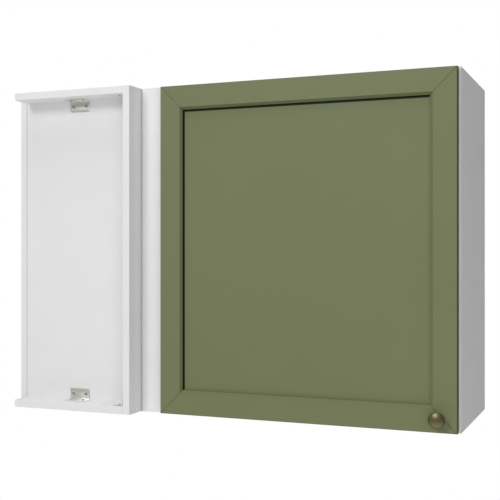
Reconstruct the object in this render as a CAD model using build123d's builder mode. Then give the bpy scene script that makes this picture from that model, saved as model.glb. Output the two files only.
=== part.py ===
from build123d import *

import os

# Corner wall cabinet with a blind panel, a corner spacer and one framed door.
#
# Frame: X runs along the wall from the blind end to the door end, -Y points out of the wall
# into the room, Z is up. The origin is the middle of the wall rail's fixing holes, on the wall.
# All sizes are in millimetres.

# ---------------------------------------------------------------- driving dimensions

# Carcass
cabinet_width = 1000.0
cabinet_height = 700.0
cabinet_depth = 306.0
board = 16.0  # every carcass and spacer board
board_arris = 0.6  # broken edge of every board
blind_arris = 0.3
fixing_drop = 52.0  # wall fixing holes below the cabinet's top

# Back panel, held in grooves
back_thickness = 3.2
back_recess = 16.0  # from the wall to the back panel
groove_depth = 5.0
groove_play = 0.2
back_play = 1.0  # back panel's edge from the groove's floor

# Blind panel and corner spacer
door_left_offset = 368.5  # door's hinge edge from the cabinet's left side
blind_lap = 13.0  # blind panel's reach behind the door
spacer_left_offset = 21.6  # rails' free ends from the cabinet's left side
spacer_width = 290.3
spacer_depth = 53.5

# Angle brackets of the spacer
bracket_width = 48.7
bracket_leg = 26.0
bracket_sheet = 2.0
bracket_corner = 4.0
bracket_bend = 1.5
bracket_hole_pitch = 32.0
bracket_hole_height = 14.0  # hole centres from the bracket's corner
bracket_hole_radius = 2.2
center_bracket_offset = 158.0  # middle brackets from the cabinet's left side

# Shelf
shelf_play = 1.0  # between the shelf's ends and the sides
shelf_front_gap = 20.0  # behind the blind panel
shelf_back_gap = 2.0
shelf_height = 342.0  # shelf's underside above the cabinet's underside
pin_row_front = 238.0  # rows of shelf pin holes, from the wall
pin_row_back = 62.0
pin_hole_pitch = 32.0
pin_hole_count = 3  # in each row
shelf_pin_radius = 2.5
shelf_pin_reach = 8.0  # out of the side
shelf_pin_depth = 9.0  # into the side
shelf_pin_collar = 0.8
shelf_pin_collar_radius = 4.0

# Cam fittings and dowels
cam_radius = 7.5
cam_height = 12.5
cam_backset = 34.0  # cam's centre from the board's end
cam_row_front = 232.0
cam_row_back = 66.0
bolt_radius = 3.0
bolt_head_radius = 3.8
bolt_head_length = 2.4
bolt_depth = 11.0  # into the side panel
dowel_radius = 4.0
dowel_length = 30.0
dowel_depth = 11.0
dowel_row = 150.0
dowel_column_edge = 60.0  # blind panel's dowels from its two ends

# Every fastener and its hole are drawn with flat sides, so that what repeats stays light
bore_play = 0.1  # round every fixed pin, bolt and screw
shank_sides = 6  # shanks, bolts, dowels and their holes
head_sides = 10  # screw heads, collars and bumpers
cam_sides = 12
cup_sides = 36
head_taper = 20.0  # of a screw head's side, in degrees

# Door
door_thickness = 18.0
door_gap = 2.0  # between the closed door and the carcass
door_reveal = 2.0  # above and below the door
door_side_reveal = 3.5  # between the door's free edge and the cabinet's right side
frame_flat = 46.0  # flat face of the door's frame
bevel_width = 5.5
bevel_depth = 3.0
panel_recess = 8.5  # panel's face behind the frame's face
panel_thickness = 6.0
panel_tongue = 8.0
panel_play = 1.0  # panel's edge from the groove's floor
door_edge_radius = 1.5
mitre_groove = 0.6  # side of the square cut that opens each mitre as a fine V

# Knob
knob_edge = 35.6  # knob's centre from the door's right edge
knob_rise = 27.0  # and from its bottom edge
knob_radius = 16.0
knob_projection = 25.0
knob_neck_radius = 6.5
knob_foot_radius = 8.5
knob_foot_height = 2.0
knob_crown_rise = 6.5  # from the cap's rim to its crown
crown_rings = 2
knob_rim = 1.8
knob_screw_radius = 2.0
knob_screw_depth = 9.0  # into the knob

# Bumpers
bumper_radius = 4.5
bumper_inset = 16.0  # from the door's ends
bumper_play = 0.2

# Hinges
hinge_inset = 100.0  # cup centres from the door's ends
cup_radius = 17.5
cup_edge = 3.0  # cup's rim from the door's edge
cup_depth = 11.8
cup_wall = 0.7
flange_sheet = 1.2
flange_start = 6.0  # flange's straight edge from the door's edge
ear_offset = 9.5  # cup screws from the cup's centre, away from the hinge edge
ear_pitch = 45.0
ear_radius = 6.5
hinge_pin_radius = 1.25
hinge_pin_play = 0.05
pin_edge = 6.6  # pin from the door's hinge edge
pin_depth = 8.5  # pin in front of the door's back face
lug_half = 2.2
knuckle_radius = 2.0
knuckle_half = 4.2  # half width of the arm's knuckle
knuckle_play = 0.2  # between the arm's wide part and the sweep of the cup's rim
lug_gap = 0.4
hinge_pin_half = 7.6
arm_sheet = 2.0
arm_half = 7.0
arm_reach = 11.4  # from the pin to the middle of the arm's neck
arm_bend = 3.5
arm_tail = 48.0  # arm's end behind the pin
arm_lip = 4.5  # depth of the strap's two side lips
arm_lip_sheet = 1.5
arm_lip_end = 2.0  # strap's bare end past its lips
plate_thickness = 3.0
plate_offset = 23.0  # plate's centre from the pin
plate_length = 54.0
plate_bar_width = 18.0
plate_corner = 3.0
wing_length = 46.0
wing_width = 12.0
wing_pitch = 32.0
fixing_screw_offset = 13.0  # arm screws, each way from the plate's centre

# Hangers and wall rail
housing_width = 18.0
housing_depth = 58.0
housing_height = 44.0
housing_drop = 2.0  # below the top panel
housing_round = 3.0
housing_slot = 44.0  # depth of the hook's slot
hanger_fix_rows = (17.0, 42.0)  # housing screws, from the housing's back
hanger_fix_drop = 9.0  # below the housing's middle
adjuster_pitch = 13.0
hook_sheet = 3.0
hook_half = 6.0
hook_play = 0.1
hook_tip = 6.5
hook_reach = 41.0  # into the housing
window_margin = 4.0  # opening in the back panel above and below each hook
window_side = 2.0  # and beside it
rail_sheet = 2.0
rail_foot = 16.0  # rail's lower edge below its holes
rail_flat = 12.0  # top of the rail's flat part above its holes
rail_joggle = 5.0
rail_joggle_rise = 4.0
rail_lip = 22.0  # top of the rail's lip above its holes
rail_end_gap = 3.0
rail_hole_radius = 4.0
rail_hole_pitch = 600.0

# Screws: head radius, head height, shank radius, length below the head
plate_screw = (3.8, 1.8, 2.0, 12.0)
bracket_screw = (3.6, 1.6, 1.75, 13.0)
cup_screw = (3.3, 1.5, 1.75, 12.0)
arm_screw = (4.2, 2.0, 2.5, 4.6)
hanger_screw = (4.0, 1.8, 2.0, 27.0)
adjuster_screw = (4.5, 2.5, 2.5, 14.0)
knob_screw_head = (4.0, 2.0)

os.makedirs("parts", exist_ok=True)

# ---------------------------------------------------------------- derived places

left, right = -cabinet_width / 2, cabinet_width / 2
top = fixing_drop
bottom = top - cabinet_height
front = -cabinet_depth
middle_z = (top + bottom) / 2
inner_left, inner_right = left + board, right - board

back_front = -back_recess - back_thickness  # back panel's room side
blind_back = front + board
door_left = left + door_left_offset
door_right = right - door_side_reveal
door_top, door_bottom = top - door_reveal, bottom + door_reveal
door_back = front - door_gap
door_front = door_back - door_thickness
door_center_x = (door_left + door_right) / 2
blind_right = door_left + blind_lap

spacer_left = left + spacer_left_offset
spacer_right = spacer_left + spacer_width

shelf_bottom = bottom + shelf_height
cup_x = door_left + cup_edge + cup_radius
pin_x = door_left + pin_edge
pin_y = door_back - pin_depth
hinge_levels = {"upper": door_top - hinge_inset, "lower": door_bottom + hinge_inset}


def save(piece, name):
    """Label one finished piece and write its STEP file."""
    piece.label = name
    export_step(piece, f"parts/{name}.step")


def screw(head_radius, head_height, shank_radius, length):
    """Pan-head screw with its seat at the origin, its shank along -Z."""
    with BuildPart() as blank:
        with BuildSketch():
            RegularPolygon(head_radius, head_sides)
        extrude(amount=head_height, taper=head_taper)
        with BuildSketch():
            RegularPolygon(shank_radius, shank_sides)
        extrude(amount=-length)
    return blank.part


def screw_group(places, size):
    """The same screw at every place, as one group of separate solids."""
    one = screw(*size)
    with BuildPart() as group:
        with Locations(*places):
            add(one)
    return group.part


def flipped(places):
    """The same places, seen from the mating board."""
    return [Plane(place.origin, x_dir=place.x_dir, z_dir=-place.z_dir) for place in places]


def under(places, sheet):
    """The same places, on the far side of a sheet of this thickness."""
    return [place.offset(-sheet) for place in places]


# ---------------------------------------------------------------- places of the joints


def end_places(row, z, side):
    """Joint in the end of a top or bottom panel, with Z into the side panel."""
    return Plane((side * inner_right, -row, z), x_dir=(0, 1, 0), z_dir=(side, 0, 0))


def blind_place(x, z):
    """Joint in the notched edge of a top or bottom panel, with Z into the blind panel."""
    return Plane((x, blind_back, z), x_dir=(1, 0, 0), z_dir=(0, -1, 0))


panel_levels = (top - board / 2, bottom + board / 2)
blind_columns = (inner_left + dowel_column_edge, blind_right - dowel_column_edge)

side_cams = {
    side: [end_places(row, z, side) for z in panel_levels for row in (cam_row_front, cam_row_back)]
    for side in (-1, 1)
}
side_dowels = {side: [end_places(dowel_row, z, side) for z in panel_levels] for side in (-1, 1)}
blind_dowels = [blind_place(x, z) for z in panel_levels for x in blind_columns]
all_cams = side_cams[-1] + side_cams[1]
all_dowels = side_dowels[-1] + side_dowels[1] + blind_dowels

shelf_pin_rows = (-pin_row_front, -pin_row_back)
shelf_pin_level = shelf_bottom - shelf_pin_radius

hanger_level = top - board - housing_drop - housing_height / 2


def hanger_fix_place(side, row):
    """Screw through a hanger's housing, with Z out of the housing."""
    face_x = side * (inner_right - housing_width)
    return Plane(
        (face_x, back_front - row, hanger_level - hanger_fix_drop),
        x_dir=(0, 1, 0),
        z_dir=(-side, 0, 0),
    )


hanger_fix_places = {side: [hanger_fix_place(side, row) for row in hanger_fix_rows] for side in (-1, 1)}


def behind_blind(x, z):
    """Place on the blind panel's back face, with Z into the cabinet."""
    return Plane((x, blind_back, z), x_dir=(1, 0, 0), z_dir=(0, 1, 0))


def plate_screw_places(level):
    """Screws in the two wings of a hinge's mounting plate."""
    return [
        behind_blind(pin_x - plate_offset, level + side * wing_pitch / 2).offset(plate_thickness)
        for side in (-1, 1)
    ]


def arm_screw_places(level):
    """Screws that fix and adjust a hinge's arm on its plate."""
    plate_x = pin_x - plate_offset
    return [
        behind_blind(plate_x + side * fixing_screw_offset, level).offset(plate_thickness + arm_sheet)
        for side in (-1, 1)
    ]


def adjuster_places(side):
    """Height and depth adjusters on the room side of a hanger's housing."""
    return [
        Plane(
            (side * (inner_right - housing_width / 2), back_front - housing_depth, hanger_level - along),
            x_dir=(1, 0, 0),
            z_dir=(0, -1, 0),
        )
        for along in (0, adjuster_pitch)
    ]


# ---------------------------------------------------------------- carcass


def back_groove(place, length_x, length_y):
    """Cut one straight groove for the back panel into the face at this place."""
    with Locations(place):
        Box(
            length_x,
            length_y,
            groove_depth,
            align=(Align.CENTER, Align.CENTER, Align.MAX),
            mode=Mode.SUBTRACT,
        )


groove_width = back_thickness + groove_play
groove_y = -back_recess - back_thickness / 2

with BuildPart() as left_side_panel:
    with BuildSketch(Plane.YZ.offset(left)):
        with Locations((front / 2, middle_z)):
            Rectangle(cabinet_depth, cabinet_height)
    extrude(amount=board)
    chamfer(left_side_panel.edges().group_by(Axis.Y)[0], board_arris)
    groove_face = Plane((inner_left, groove_y, middle_z), x_dir=(0, 1, 0), z_dir=(1, 0, 0))
    back_groove(groove_face, groove_width, cabinet_height - 2 * board + 2 * groove_depth)
    pin_holes_y = -(pin_row_front + pin_row_back) / 2
    pin_face = Plane((inner_left, pin_holes_y, shelf_pin_level), x_dir=(0, 1, 0), z_dir=(1, 0, 0))
    with BuildSketch(pin_face):
        with GridLocations(pin_row_front - pin_row_back, pin_hole_pitch, 2, pin_hole_count):
            RegularPolygon(shelf_pin_radius + bore_play, shank_sides)
    extrude(amount=-shelf_pin_depth - bore_play, mode=Mode.SUBTRACT)
    with BuildSketch(*flipped(side_cams[-1])):
        RegularPolygon(bolt_radius + bore_play, shank_sides)
    extrude(amount=-bolt_depth, mode=Mode.SUBTRACT)
    with BuildSketch(*flipped(side_dowels[-1])):
        RegularPolygon(dowel_radius + bore_play, shank_sides)
    extrude(amount=-dowel_depth, mode=Mode.SUBTRACT)
    with BuildSketch(*under(hanger_fix_places[-1], housing_width)):
        RegularPolygon(hanger_screw[2] + bore_play, shank_sides)
    extrude(amount=housing_width - hanger_screw[3] - bore_play, mode=Mode.SUBTRACT)
save(left_side_panel.part, "left_side_panel")

with BuildPart() as right_side_panel:
    mirror(left_side_panel.part, about=Plane.YZ)
save(right_side_panel.part, "right_side_panel")


def cross_panel(z_low, groove_side):
    """Top or bottom panel, notched for the blind panel and bored for its cam fittings."""
    with BuildPart() as panel:
        with BuildSketch(Plane.XY.offset(z_low)):
            with BuildLine():
                Polyline(
                    (inner_left, 0),
                    (inner_right, 0),
                    (inner_right, front),
                    (blind_right, front),
                    (blind_right, blind_back),
                    (inner_left, blind_back),
                    close=True,
                )
            make_face()
        extrude(amount=board)
        groove_z = z_low + board if groove_side > 0 else z_low
        groove_plane = Plane((0, groove_y, groove_z), x_dir=(1, 0, 0), z_dir=(0, 0, groove_side))
        back_groove(groove_plane, inner_right - inner_left, groove_width)
        own_cams = [place for place in all_cams if z_low < place.origin.Z < z_low + board]
        own_dowels = [place for place in all_dowels if z_low < place.origin.Z < z_low + board]
        with BuildSketch(*own_cams):
            RegularPolygon(bolt_radius + bore_play, shank_sides)
        extrude(amount=-cam_backset, mode=Mode.SUBTRACT)
        with BuildSketch(Plane.XY.offset(z_low + board)):
            with Locations(*[place.offset(-cam_backset).origin for place in own_cams]):
                RegularPolygon(cam_radius + bore_play, cam_sides)
        extrude(amount=-cam_height - bore_play, mode=Mode.SUBTRACT)
        with BuildSketch(*own_dowels):
            RegularPolygon(dowel_radius + bore_play, shank_sides)
        extrude(amount=dowel_depth - dowel_length - bore_play, mode=Mode.SUBTRACT)
    return panel.part


top_panel = cross_panel(top - board, -1)
save(top_panel, "top_panel")
bottom_panel = cross_panel(bottom, 1)
save(bottom_panel, "bottom_panel")

back_margin = groove_depth - back_play
with BuildPart() as back_panel:
    with BuildSketch(Plane.XZ.offset(back_recess)):
        with Locations((0, middle_z)):
            Rectangle(
                inner_right - inner_left + 2 * back_margin,
                cabinet_height - 2 * board + 2 * back_margin,
            )
        for side in (-1, 1):
            window_x = side * (inner_right - housing_width / 2)
            with Locations((window_x, rail_lip + hook_sheet / 2)):
                Rectangle(
                    2 * (hook_half + window_side),
                    hook_sheet + 2 * window_margin,
                    mode=Mode.SUBTRACT,
                )
    extrude(amount=back_thickness)
save(back_panel.part, "back_panel")

with BuildPart() as shelf:
    shelf_depth = cabinet_depth - board - shelf_front_gap + back_front - shelf_back_gap
    with BuildSketch(Plane.XY.offset(shelf_bottom)):
        with Locations((0, back_front - shelf_back_gap - shelf_depth / 2)):
            Rectangle(inner_right - inner_left - 2 * shelf_play, shelf_depth)
    extrude(amount=board)
    chamfer(shelf.edges().filter_by(Axis.X).group_by(Axis.Y)[0], board_arris)
save(shelf.part, "shelf")

with BuildPart() as shelf_pins:
    for side in (-1, 1):
        for row in shelf_pin_rows:
            pin_origin = (side * inner_right, row, shelf_pin_level)
            pin_place = Plane(pin_origin, x_dir=(0, 1, 0), z_dir=(-side, 0, 0))
            with BuildSketch(pin_place.offset(-shelf_pin_depth)):
                RegularPolygon(shelf_pin_radius, shank_sides)
            extrude(amount=shelf_pin_depth + shelf_pin_reach)
            with BuildSketch(pin_place):
                RegularPolygon(shelf_pin_collar_radius, head_sides)
            extrude(amount=shelf_pin_collar)
save(shelf_pins.part, "shelf_pins")

# ---------------------------------------------------------------- blind panel and spacer

spacer_middle_x = left + center_bracket_offset
stile_inner = spacer_right - board

# A bracket's place: origin on its corner line, X along its width, Y and Z along its legs.
bracket_y = front - spacer_depth / 2
bracket_top, bracket_bottom = top - board, bottom + board
bracket_places = {
    "top_center_bracket": Plane(
        (spacer_middle_x, front, bracket_top), x_dir=(1, 0, 0), z_dir=(0, 0, -1)
    ),
    "bottom_center_bracket": Plane(
        (spacer_middle_x, front, bracket_bottom), x_dir=(-1, 0, 0), z_dir=(0, 0, 1)
    ),
    "top_corner_bracket": Plane(
        (stile_inner, bracket_y, bracket_top), x_dir=(0, -1, 0), z_dir=(0, 0, -1)
    ),
    "bottom_corner_bracket": Plane(
        (stile_inner, bracket_y, bracket_bottom), x_dir=(0, 1, 0), z_dir=(0, 0, 1)
    ),
}


def bracket_screw_places(place):
    """Four screws of one bracket: two on each leg, with Z out of the sheet."""
    flat, upright = [], []
    for side in (-1, 1):
        across = side * bracket_hole_pitch / 2
        on_flat = place.from_local_coords(Vector(across, bracket_hole_height, bracket_sheet))
        on_upright = place.from_local_coords(Vector(across, bracket_sheet, bracket_hole_height))
        flat.append(Plane(on_flat, x_dir=place.x_dir, z_dir=place.z_dir))
        upright.append(Plane(on_upright, x_dir=place.x_dir, z_dir=place.y_dir))
    return flat, upright


def angle_bracket(place):
    """Bent sheet bracket with rounded free corners and two holes in each leg."""
    upright = Plane(place.origin, x_dir=place.x_dir, z_dir=-place.y_dir)
    flat_holes, upright_holes = bracket_screw_places(place)
    with BuildPart() as bracket:
        for plane, amount in ((place, bracket_sheet), (upright, -bracket_sheet)):
            with BuildSketch(plane) as leg:
                with Locations((0, bracket_leg / 2)):
                    Rectangle(bracket_width, bracket_leg)
                fillet(leg.vertices().group_by(Axis.Y)[-1], bracket_corner)
            extrude(amount=amount)
        corner_line = Axis(place.origin, place.x_dir)
        inner_corner = place.from_local_coords(Vector(0, bracket_sheet, bracket_sheet))
        for bend_corner in (inner_corner, place.origin):
            along_corner = bracket.edges().filter_by(corner_line, tolerance=1e-3)
            fillet(along_corner.sort_by_distance(bend_corner)[0], bracket_bend)
        with BuildSketch(*flat_holes, *upright_holes):
            RegularPolygon(bracket_hole_radius, shank_sides)
        extrude(amount=-bracket_sheet, mode=Mode.SUBTRACT)
    return bracket.part


for bracket_name, bracket_place in bracket_places.items():
    save(angle_bracket(bracket_place), bracket_name)

bracket_flat_screws, bracket_upright_screws = {}, {}
every_bracket_screw = []
for bracket_name, bracket_place in bracket_places.items():
    on_flat_leg, on_upright_leg = bracket_screw_places(bracket_place)
    bracket_flat_screws[bracket_name] = on_flat_leg
    bracket_upright_screws[bracket_name] = on_upright_leg
    every_bracket_screw += on_flat_leg + on_upright_leg
save(screw_group(every_bracket_screw, bracket_screw), "bracket_screws")


bracket_pilot_depth = bracket_screw[3] - bracket_sheet + bore_play
plate_pilot_depth = plate_screw[3] - plate_thickness + bore_play

with BuildPart() as blind_panel:
    with BuildSketch(Plane.XZ.offset(-blind_back)):
        with Locations(((inner_left + blind_right) / 2, middle_z)):
            Rectangle(blind_right - inner_left, cabinet_height)
    extrude(amount=board)
    chamfer(blind_panel.edges().filter_by(Axis.Z).group_by(Axis.Y)[0], blind_arris)
    with BuildSketch(*flipped(blind_dowels)):
        RegularPolygon(dowel_radius + bore_play, shank_sides)
    extrude(amount=-dowel_depth, mode=Mode.SUBTRACT)
    for name in ("top_center_bracket", "bottom_center_bracket"):
        with BuildSketch(*under(bracket_upright_screws[name], bracket_sheet)):
            RegularPolygon(bracket_screw[2] + bore_play, shank_sides)
        extrude(amount=-bracket_pilot_depth, mode=Mode.SUBTRACT)
    for level in hinge_levels.values():
        with BuildSketch(*under(plate_screw_places(level), plate_thickness)):
            RegularPolygon(plate_screw[2] + bore_play, shank_sides)
        extrude(amount=-plate_pilot_depth, mode=Mode.SUBTRACT)
save(blind_panel.part, "blind_panel")


def spacer_rail(z_low, bracket_names):
    """Horizontal spacer board, butted against the stile."""
    with BuildPart() as rail:
        with BuildSketch(Plane.XY.offset(z_low)):
            with Locations(((spacer_left + stile_inner) / 2, front - spacer_depth / 2)):
                Rectangle(stile_inner - spacer_left, spacer_depth)
        extrude(amount=board)
        chamfer(rail.edges().group_by(Axis.Y)[0].filter_by(Axis.X), board_arris)
        for name in bracket_names:
            with BuildSketch(*under(bracket_flat_screws[name], bracket_sheet)):
                RegularPolygon(bracket_screw[2] + bore_play, shank_sides)
            extrude(amount=-bracket_pilot_depth, mode=Mode.SUBTRACT)
    return rail.part


save(spacer_rail(top - board, ("top_center_bracket", "top_corner_bracket")), "spacer_top_rail")
save(spacer_rail(bottom, ("bottom_center_bracket", "bottom_corner_bracket")), "spacer_bottom_rail")

with BuildPart() as spacer_stile:
    with BuildSketch(Plane.XY.offset(bottom)):
        with Locations((spacer_right - board / 2, front - spacer_depth / 2)):
            Rectangle(board, spacer_depth)
    extrude(amount=cabinet_height)
    chamfer(spacer_stile.edges().group_by(Axis.Y)[0].filter_by(Axis.Z), board_arris)
    for name in ("top_corner_bracket", "bottom_corner_bracket"):
        with BuildSketch(*under(bracket_upright_screws[name], bracket_sheet)):
            RegularPolygon(bracket_screw[2] + bore_play, shank_sides)
        extrude(amount=-bracket_pilot_depth, mode=Mode.SUBTRACT)
save(spacer_stile.part, "spacer_stile")

# ---------------------------------------------------------------- cam fittings and dowels

with BuildPart() as cam_locks:
    for place in all_cams:
        bolt_axis = place.offset(-cam_backset)
        cam_base = bolt_axis.origin.Z + board / 2 - cam_height
        with BuildSketch(Plane((bolt_axis.origin.X, bolt_axis.origin.Y, cam_base))):
            RegularPolygon(cam_radius, cam_sides)
        extrude(amount=cam_height)
    for place in all_cams:
        bolt_axis = place.offset(-cam_backset)
        with BuildSketch(bolt_axis.offset(-bolt_head_length - bore_play)):
            RegularPolygon(bolt_head_radius + bore_play, shank_sides)
        extrude(amount=cam_radius * 2, mode=Mode.SUBTRACT)
save(cam_locks.part, "cam_locks")

with BuildPart() as cam_bolts:
    for place in all_cams:
        bolt_axis = place.offset(-cam_backset)
        with BuildSketch(bolt_axis.offset(-bolt_head_length)):
            RegularPolygon(bolt_head_radius, shank_sides)
        extrude(amount=bolt_head_length)
        with BuildSketch(bolt_axis):
            RegularPolygon(bolt_radius, shank_sides)
        extrude(amount=cam_backset + bolt_depth)
save(cam_bolts.part, "cam_bolts")

with BuildPart() as dowels:
    for place in all_dowels:
        with BuildSketch(place.offset(dowel_depth - dowel_length)):
            RegularPolygon(dowel_radius, shank_sides)
        extrude(amount=dowel_length)
save(dowels.part, "dowels")

# ---------------------------------------------------------------- hangers and wall rail

hook_level = rail_lip + hook_sheet / 2
hook_tip_y = -rail_joggle / 2

for side, side_name in ((-1, "left"), (1, "right")):
    housing_x = side * (inner_right - housing_width / 2)
    with BuildPart() as housing:
        with BuildSketch(Plane.XZ.offset(-back_front)):
            with Locations((housing_x, hanger_level)):
                Rectangle(housing_width, housing_height)
        extrude(amount=housing_depth)
        rim = housing.edges().group_by(Axis.X)[-1 if side < 0 else 0]
        fillet(rim.filter_by(Axis.Y), housing_round)
        with BuildSketch(Plane.XZ.offset(-back_front)):
            with Locations((housing_x, hook_level)):
                Rectangle(2 * (hook_half + hook_play), hook_sheet + 2 * hook_play)
        extrude(amount=housing_slot, mode=Mode.SUBTRACT)
        with BuildSketch(*hanger_fix_places[side]):
            RegularPolygon(hanger_screw[2] + bore_play, shank_sides)
        extrude(amount=-housing_width, mode=Mode.SUBTRACT)
        with BuildSketch(*adjuster_places(side)):
            RegularPolygon(adjuster_screw[2] + bore_play, shank_sides)
        extrude(amount=-adjuster_screw[3] - bore_play, mode=Mode.SUBTRACT)
    save(housing.part, f"{side_name}_hanger_housing")

    with BuildPart() as hook:
        with BuildSketch(Plane.YZ.offset(housing_x - hook_half)):
            with BuildLine():
                Polyline(
                    (back_front - hook_reach, rail_lip),
                    (back_front - hook_reach, rail_lip + hook_sheet),
                    (hook_tip_y + hook_sheet / 2, rail_lip + hook_sheet),
                    (hook_tip_y + hook_sheet / 2, rail_lip + hook_sheet - hook_tip),
                    (hook_tip_y - hook_sheet / 2, rail_lip + hook_sheet - hook_tip),
                    (hook_tip_y - hook_sheet / 2, rail_lip),
                    close=True,
                )
            make_face()
        extrude(amount=2 * hook_half)
    save(hook.part, f"{side_name}_hanger_hook")

every_fix_place = hanger_fix_places[-1] + hanger_fix_places[1]
save(screw_group(every_fix_place, hanger_screw), "hanger_screws")
every_adjuster = adjuster_places(-1) + adjuster_places(1)
save(screw_group(every_adjuster, adjuster_screw), "hanger_adjusters")

with BuildPart() as wall_rail:
    rail_length = inner_right - inner_left - 2 * rail_end_gap
    with BuildSketch(Plane.YZ.offset(-rail_length / 2)):
        with BuildLine():
            joggle_top = rail_flat + rail_joggle_rise
            Polyline(
                (0, -rail_foot),
                (0, rail_flat),
                (-rail_joggle, joggle_top),
                (-rail_joggle, rail_lip),
                (-rail_joggle - rail_sheet, rail_lip),
                (-rail_joggle - rail_sheet, joggle_top),
                (-rail_sheet, rail_flat),
                (-rail_sheet, -rail_foot),
                close=True,
            )
        make_face()
    extrude(amount=rail_length)
    with Locations(Plane((0, -rail_sheet, 0), x_dir=(1, 0, 0), z_dir=(0, -1, 0))):
        with GridLocations(rail_hole_pitch, 0, 2, 1):
            Hole(rail_hole_radius, depth=rail_sheet)
save(wall_rail.part, "wall_rail")

# ---------------------------------------------------------------- door

frame_width = frame_flat + bevel_width
panel_back = panel_recess + panel_thickness
door_width = door_right - door_left
door_height = door_top - door_bottom


def frame_bar(corner_middle, inward, length):
    """One mitred bar of the door's frame: X inward from the door's edge, Y from its face to its back."""
    across = Vector(*inward)
    place = Plane(corner_middle, x_dir=across, z_dir=across.cross(Vector(0, 1, 0)))
    with BuildPart() as bar:
        with BuildSketch(place) as profile:
            with BuildLine():
                Polyline(
                    (0, 0),
                    (frame_flat, 0),
                    (frame_width, bevel_depth),
                    (frame_width, panel_recess),
                    (frame_width - panel_tongue, panel_recess),
                    (frame_width - panel_tongue, panel_back),
                    (frame_width, panel_back),
                    (frame_width, door_thickness),
                    (0, door_thickness),
                    close=True,
                )
            make_face()
            fillet(profile.vertices().group_by(Axis.X)[0], door_edge_radius)
        extrude(amount=length / 2, both=True)
        for end in (-1, 1):
            corner = place.from_local_coords(Vector(0, 0, end * length / 2))
            mitre = Plane(corner, z_dir=across + place.z_dir * end)
            split(bisect_by=mitre, keep=Keep.BOTTOM)
            diagonal = across - place.z_dir * end
            with Locations(Plane(corner, x_dir=diagonal, z_dir=mitre.z_dir - Vector(0, 1, 0))):
                Box(4 * frame_width, mitre_groove, mitre_groove, mode=Mode.SUBTRACT)
    return bar.part


def behind_door(x, z):
    """Place on the door's back face, with Z towards the carcass."""
    return Plane((x, door_back, z), x_dir=(1, 0, 0), z_dir=(0, 1, 0))


cup_screw_places = [
    behind_door(cup_x + ear_offset, level + side * ear_pitch / 2).offset(flange_sheet)
    for level in hinge_levels.values()
    for side in (-1, 1)
]
cup_pilot_depth = cup_screw[3] - flange_sheet + bore_play
knob_x, knob_z = door_right - knob_edge, door_bottom + knob_rise
door_middle_z = (door_top + door_bottom) / 2

with BuildPart() as door_left_stile:
    add(frame_bar((door_left, door_front, door_middle_z), (1, 0, 0), door_height))
    with Locations(*[behind_door(cup_x, level) for level in hinge_levels.values()]):
        Hole(cup_radius + bore_play, depth=cup_depth + bore_play)
    with BuildSketch(*under(cup_screw_places, flange_sheet)):
        RegularPolygon(cup_screw[2] + bore_play, shank_sides)
    extrude(amount=-cup_pilot_depth, mode=Mode.SUBTRACT)
save(door_left_stile.part, "door_left_stile")

door_right_stile = frame_bar((door_right, door_front, door_middle_z), (-1, 0, 0), door_height)
save(door_right_stile, "door_right_stile")
door_top_rail = frame_bar((door_center_x, door_front, door_top), (0, 0, -1), door_width)
save(door_top_rail, "door_top_rail")

with BuildPart() as door_bottom_rail:
    add(frame_bar((door_center_x, door_front, door_bottom), (0, 0, 1), door_width))
    with BuildSketch(behind_door(knob_x, knob_z)):
        RegularPolygon(knob_screw_radius + bore_play, shank_sides)
    extrude(amount=-door_thickness, mode=Mode.SUBTRACT)
save(door_bottom_rail.part, "door_bottom_rail")

with BuildPart() as door_panel:
    panel_inset = frame_width - panel_tongue + panel_play
    with BuildSketch(Plane.XZ.offset(-door_front - panel_back)):
        with Locations((door_center_x, door_middle_z)):
            Rectangle(door_width - 2 * panel_inset, door_height - 2 * panel_inset)
    extrude(amount=panel_thickness)
save(door_panel.part, "door_panel")

# The crown is a shallow dome in a few rings round a flat middle
crown_start = knob_projection - knob_crown_rise
dome_radius = (knob_radius**2 + knob_crown_rise**2) / (2 * knob_crown_rise)
crown_line = []
for step in range(crown_rings + 1):
    ring_radius = knob_radius * (1 - step / (crown_rings + 1))
    dome_height = (dome_radius**2 - ring_radius**2) ** 0.5
    crown_line.append((ring_radius, knob_projection - dome_radius + dome_height))

knob_axis = Axis((knob_x, door_front, knob_z), (0, -1, 0))
knob_face = Plane((knob_x, door_front, knob_z), x_dir=(1, 0, 0), z_dir=(0, -1, 0))
with BuildPart() as knob:
    with BuildSketch(Plane(knob_axis.position, x_dir=(1, 0, 0), z_dir=(0, 0, -1))):
        with BuildLine():
            Polyline(
                (0, 0),
                (knob_foot_radius, 0),
                (knob_foot_radius, knob_foot_height),
                (knob_neck_radius, knob_foot_height),
                (knob_neck_radius, crown_start - knob_rim),
                (knob_radius, crown_start - knob_rim),
                *crown_line,
                (0, crown_line[-1][1]),
                close=True,
            )
        make_face()
    revolve(axis=knob_axis)
    with BuildSketch(knob_face):
        RegularPolygon(knob_screw_radius + bore_play, shank_sides)
    extrude(amount=knob_screw_depth + bore_play, mode=Mode.SUBTRACT)
save(knob.part, "knob")

knob_screw_size = (*knob_screw_head, knob_screw_radius, door_thickness + knob_screw_depth)
save(screw_group([behind_door(knob_x, knob_z)], knob_screw_size), "knob_screw")

with BuildPart() as door_bumpers:
    bumper_x = (door_right + inner_right) / 2
    for bumper_z in (door_top - bumper_inset, door_bottom + bumper_inset):
        with BuildSketch(behind_door(bumper_x, bumper_z)):
            RegularPolygon(bumper_radius, head_sides)
        extrude(amount=door_gap - bumper_play)
save(door_bumpers.part, "door_bumpers")

# ---------------------------------------------------------------- hinges


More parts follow.
